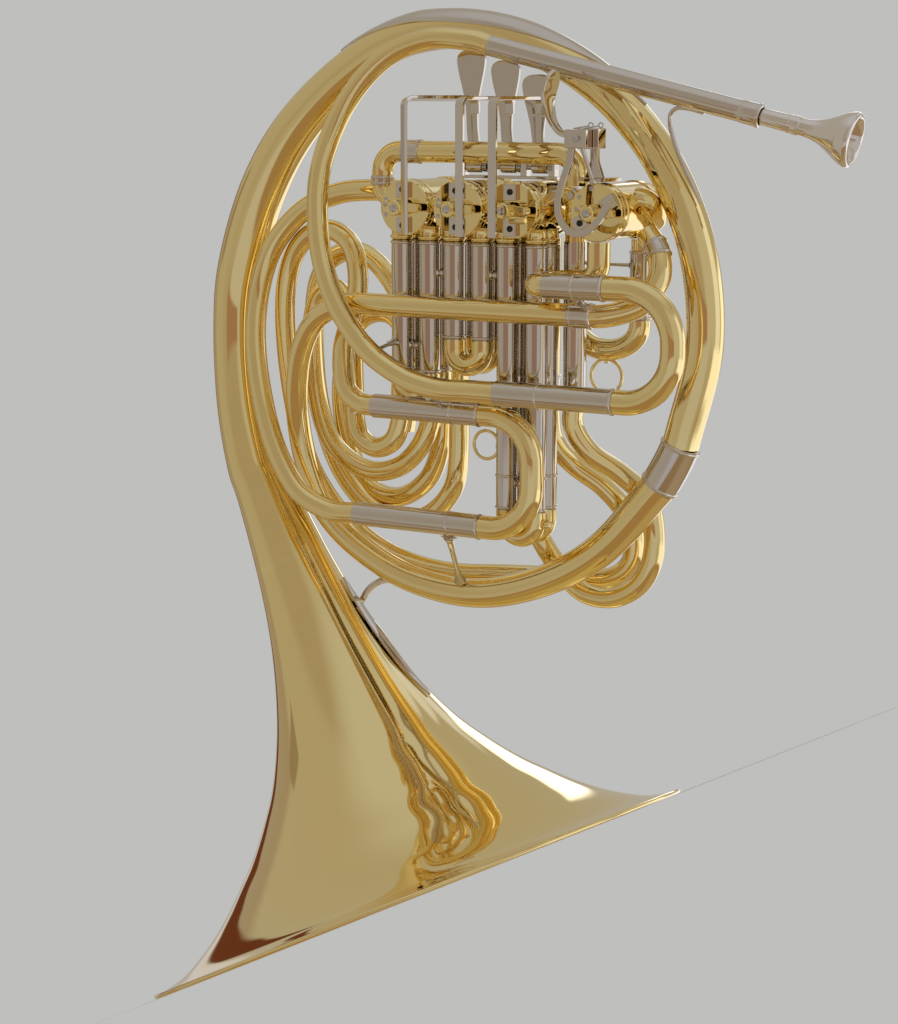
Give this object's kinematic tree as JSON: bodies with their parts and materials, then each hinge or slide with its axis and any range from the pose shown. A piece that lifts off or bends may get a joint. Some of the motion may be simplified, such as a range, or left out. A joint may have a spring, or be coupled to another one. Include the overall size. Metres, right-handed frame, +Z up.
{
  "type": "french horn",
  "caption": "Coiled brass horn with a wide flared bell, rotary valves worked by finger and thumb levers, pull-out tuning slides and a cup mouthpiece.",
  "frame": {"origin": "on the floor under the middle of the whole horn, which stands on its bell rim", "axes": "+X towards the mouthpiece, +Y away from the valve side, +Z up along the bell's axis"},
  "size_m": [0.5636, 0.3088, 0.4367],
  "materials": {
    "lacquered_brass": "polished",
    "nickel_silver": "polished",
    "polished_silver": "polished",
    "steel": "satin",
    "black_rubber": "matte",
    "white_nylon": "satin"
  },
  "bodies": {
    "horn_body": {"bell_ferrule": "nickel_silver", "bell_flare": "lacquered_brass", "bell_tail": "lacquered_brass", "body_brace": "nickel_silver", "body_branch": "lacquered_brass", "change_valve_inlet": "lacquered_brass", "crossover_tube": "lacquered_brass", "f_extension": "lacquered_brass", "f_slide_lower_sleeve": "nickel_silver", "f_slide_upper_sleeve": "nickel_silver", "finger_hook": "nickel_silver", "first_branch": "lacquered_brass", "guard_plate": "nickel_silver", "lead_pipe": "lacquered_brass", "lead_pipe_brace": "nickel_silver", "left_coil": "lacquered_brass", "lever_hinge_rod": "nickel_silver", "main_slide_lower_sleeve": "nickel_silver", "main_slide_upper_sleeve": "nickel_silver", "mouthpipe_receiver": "nickel_silver", "rear_slide_sleeves": "nickel_silver", "s_branch": "lacquered_brass", "stop_plate_1": "lacquered_brass", "stop_plate_2": "lacquered_brass", "stop_plate_3": "lacquered_brass", "stop_plate_4": "lacquered_brass", "thumb_lever_saddle": "nickel_silver", "valve_cap_1": "lacquered_brass", "valve_cap_2": "lacquered_brass", "valve_cap_3": "lacquered_brass", "valve_cap_4": "lacquered_brass", "valve_casing_1": "lacquered_brass", "valve_casing_2": "lacquered_brass", "valve_casing_3": "lacquered_brass", "valve_casing_4": "lacquered_brass", "valve_sleeves_1": "nickel_silver", "valve_sleeves_2": "nickel_silver", "valve_sleeves_3": "nickel_silver"},
    "valve_rotor_1": {"rotor_1": "lacquered_brass", "stop_arm_1": "lacquered_brass"},
    "valve_rotor_2": {"rotor_2": "lacquered_brass", "stop_arm_2": "lacquered_brass"},
    "valve_rotor_3": {"rotor_3": "lacquered_brass", "stop_arm_3": "lacquered_brass"},
    "valve_rotor_4": {"rotor_4": "lacquered_brass", "stop_arm_4": "lacquered_brass"},
    "finger_key_1": {"finger_lever_1": "nickel_silver"},
    "finger_key_2": {"finger_lever_2": "nickel_silver"},
    "finger_key_3": {"finger_lever_3": "nickel_silver"},
    "thumb_key": {"thumb_lever": "nickel_silver"},
    "main_tuning_slide": {"main_slide_bow": "lacquered_brass"},
    "f_tuning_slide": {"f_slide_bow": "lacquered_brass"},
    "f_slide_1": {"f_valve_slide_1": "lacquered_brass"},
    "bflat_slide_1": {"bflat_valve_slide_1": "lacquered_brass"},
    "f_slide_2": {"f_valve_slide_2": "lacquered_brass"},
    "bflat_slide_2": {"bflat_valve_slide_2": "lacquered_brass"},
    "f_slide_3": {"f_valve_slide_3": "lacquered_brass"},
    "bflat_slide_3": {"bflat_valve_slide_3": "lacquered_brass"},
    "rear_tuning_slide": {"rear_slide_bow": "lacquered_brass"},
    "mouthpiece_body": {"mouthpiece": "polished_silver"}
  },
  "joints": [
    {"name": "valve_turn_1", "type": "hinge", "parent": "horn_body", "child": "valve_rotor_1", "pos_m": [0.04761, -0.00268, 0.33614], "axis": [0, 0.9969, 0.0785], "range_deg": [0, 90], "stiffness_Nm_per_rad": 0.012, "springref_deg": -22.92},
    {"name": "valve_turn_2", "type": "hinge", "parent": "horn_body", "child": "valve_rotor_2", "pos_m": [0.07599, -0.00148, 0.32097], "axis": [0, 0.9969, 0.0785], "range_deg": [0, 90], "stiffness_Nm_per_rad": 0.012, "springref_deg": -22.92},
    {"name": "valve_turn_3", "type": "hinge", "parent": "horn_body", "child": "valve_rotor_3", "pos_m": [0.10437, -0.00029, 0.3058], "axis": [0, 0.9969, 0.0785], "range_deg": [0, 90], "stiffness_Nm_per_rad": 0.012, "springref_deg": -22.92},
    {"name": "valve_turn_4", "type": "hinge", "parent": "horn_body", "child": "valve_rotor_4", "pos_m": [0.14676, 0.00149, 0.28314], "axis": [0, 0.9969, 0.0785], "range_deg": [0, 90], "stiffness_Nm_per_rad": 0.012, "springref_deg": -22.92},
    {"name": "finger_press_1", "type": "hinge", "parent": "horn_body", "child": "finger_key_1", "pos_m": [0.08265, -0.00906, 0.34069], "axis": [0.8813, 0.0371, -0.4711], "range_deg": [0, 9]},
    {"name": "finger_press_2", "type": "hinge", "parent": "horn_body", "child": "finger_key_2", "pos_m": [0.10072, -0.0083, 0.33103], "axis": [0.8813, 0.0371, -0.4711], "range_deg": [0, 9]},
    {"name": "finger_press_3", "type": "hinge", "parent": "horn_body", "child": "finger_key_3", "pos_m": [0.11702, -0.00761, 0.32232], "axis": [0.8813, 0.0371, -0.4711], "range_deg": [0, 9]},
    {"name": "thumb_press", "type": "hinge", "parent": "horn_body", "child": "thumb_key", "pos_m": [0.16092, -0.04353, 0.31352], "axis": [0, 0.9969, 0.0785], "range_deg": [0, 9]},
    {"name": "main_slide_pull", "type": "slide", "parent": "horn_body", "child": "main_tuning_slide", "axis": [0.8813, 0.0371, -0.4711], "range_m": [0, 0.025]},
    {"name": "f_slide_pull", "type": "slide", "parent": "horn_body", "child": "f_tuning_slide", "axis": [0.8813, 0.0371, -0.4711], "range_m": [0, 0.04]},
    {"name": "f_slide_pull_1", "type": "slide", "parent": "horn_body", "child": "f_slide_1", "axis": [-0.4725, 0.0691, -0.8786], "range_m": [0, 0.025]},
    {"name": "bflat_slide_pull_1", "type": "slide", "parent": "horn_body", "child": "bflat_slide_1", "axis": [-0.4725, 0.0691, -0.8786], "range_m": [0, 0.025]},
    {"name": "f_slide_pull_2", "type": "slide", "parent": "horn_body", "child": "f_slide_2", "axis": [-0.4725, 0.0691, -0.8786], "range_m": [0, 0.018]},
    {"name": "bflat_slide_pull_2", "type": "slide", "parent": "horn_body", "child": "bflat_slide_2", "axis": [-0.4725, 0.0691, -0.8786], "range_m": [0, 0.018]},
    {"name": "f_slide_pull_3", "type": "slide", "parent": "horn_body", "child": "f_slide_3", "axis": [-0.4725, 0.0691, -0.8786], "range_m": [0, 0.014]},
    {"name": "bflat_slide_pull_3", "type": "slide", "parent": "horn_body", "child": "bflat_slide_3", "axis": [-0.4725, 0.0691, -0.8786], "range_m": [0, 0.014]},
    {"name": "rear_slide_pull", "type": "slide", "parent": "horn_body", "child": "rear_tuning_slide", "axis": [-0.4725, 0.0691, -0.8786], "range_m": [0, 0.02]},
    {"name": "mouthpiece_pull", "type": "slide", "parent": "horn_body", "child": "mouthpiece_body", "axis": [0.7415, 0.1459, -0.6549], "range_m": [0, 0.018]}
  ],
  "couplings": [
    {"joint": "finger_press_1", "follows": "valve_turn_1", "ratio": 0.1},
    {"joint": "finger_press_2", "follows": "valve_turn_2", "ratio": 0.1},
    {"joint": "finger_press_3", "follows": "valve_turn_3", "ratio": 0.1},
    {"joint": "thumb_press", "follows": "valve_turn_4", "ratio": 0.1}
  ]
}
